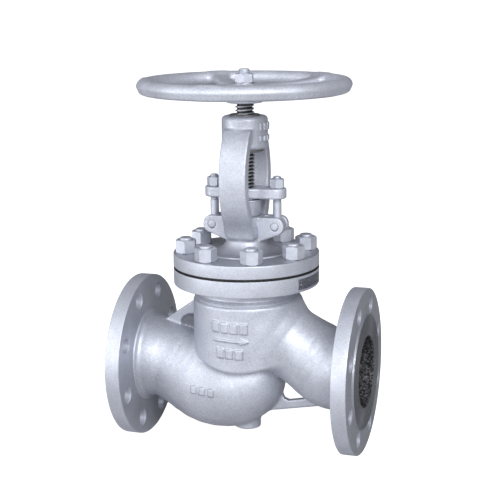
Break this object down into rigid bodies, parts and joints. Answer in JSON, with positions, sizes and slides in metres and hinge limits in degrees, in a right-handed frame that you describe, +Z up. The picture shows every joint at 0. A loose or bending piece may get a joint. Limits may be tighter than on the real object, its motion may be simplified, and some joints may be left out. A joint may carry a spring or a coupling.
{
  "type": "flanged globe valve",
  "caption": "Flanged globe valve with bolted bonnet, outside yoke and gland, rising stem with disc inside, and a spoked handwheel on top.",
  "frame": {"origin": "centre of the inlet flange's raised face, on the pipe axis", "axes": "+X along the flow, from the inlet to the outlet; +Z up along the stem, towards the handwheel; +Y to the left of the flow, seen from above"},
  "size_m": [0.35, 0.2968, 0.5365],
  "materials": {
    "cast_paint": "silver-grey paint over a sand casting, satin",
    "machined_steel": "turned steel, satin",
    "fastener_paint": "silver-grey paint over machined steel, satin",
    "stem_steel": "dark oiled steel thread",
    "bush_brass": "dull brass",
    "gasket_graphite": "matt graphite",
    "plate_metal": "dark anodised plate, satin"
  },
  "bodies": {
    "valve_body": {"body": "cast_paint", "seat_ring": "machined_steel", "body_gasket": "gasket_graphite", "bonnet": "cast_paint", "back_seat_bush": "machined_steel", "bonnet_studs": "fastener_paint", "bonnet_nuts": "fastener_paint", "packing_washer": "machined_steel", "packing_rings": "gasket_graphite", "eye_bolt_left": "fastener_paint", "eye_bolt_right": "fastener_paint", "eye_bolt_pin_left": "fastener_paint", "eye_bolt_pin_right": "fastener_paint", "yoke_bush": "bush_brass", "bush_lock_screw": "machined_steel", "nameplate": "plate_metal", "nameplate_rivets": "machined_steel"},
    "disc_carrier": {"disc": "machined_steel", "disc_nut": "machined_steel", "disc_thrust_pad": "machined_steel"},
    "spindle": {"stem": "stem_steel", "stem_split_ring": "machined_steel", "handwheel": "cast_paint", "handwheel_washer": "fastener_paint", "handwheel_nut": "fastener_paint"},
    "gland": {"gland_follower": "cast_paint", "gland_flange": "cast_paint"},
    "left_gland_nut": {"gland_nut_left": "fastener_paint"},
    "right_gland_nut": {"gland_nut_right": "fastener_paint"}
  },
  "joints": [
    {"name": "stem_lift", "type": "slide", "parent": "valve_body", "child": "disc_carrier", "axis": [0, 0, 1], "range_m": [0, 0.035]},
    {"name": "wheel_turn", "type": "hinge", "parent": "disc_carrier", "child": "spindle", "pos_m": [0.175, 0, 0.3965], "axis": [0, 0, 1], "range_deg": [0, 2520]},
    {"name": "gland_slide", "type": "slide", "parent": "valve_body", "child": "gland", "axis": [0, 0, 1], "range_m": [0, 0.006]},
    {"name": "left_nut_turn", "type": "hinge", "parent": "gland", "child": "left_gland_nut", "pos_m": [0.129, 0, 0.262], "axis": [0, 0, 1], "range_deg": [0, 1234.3]},
    {"name": "right_nut_turn", "type": "hinge", "parent": "gland", "child": "right_gland_nut", "pos_m": [0.221, 0, 0.262], "axis": [0, 0, 1], "range_deg": [0, 1234.3]}
  ],
  "couplings": [
    {"joint": "stem_lift", "follows": "wheel_turn", "m_per_rad": 0.00079577},
    {"joint": "left_nut_turn", "follows": "gland_slide", "rad_per_m": 3590.4},
    {"joint": "right_nut_turn", "follows": "gland_slide", "rad_per_m": 3590.4}
  ]
}
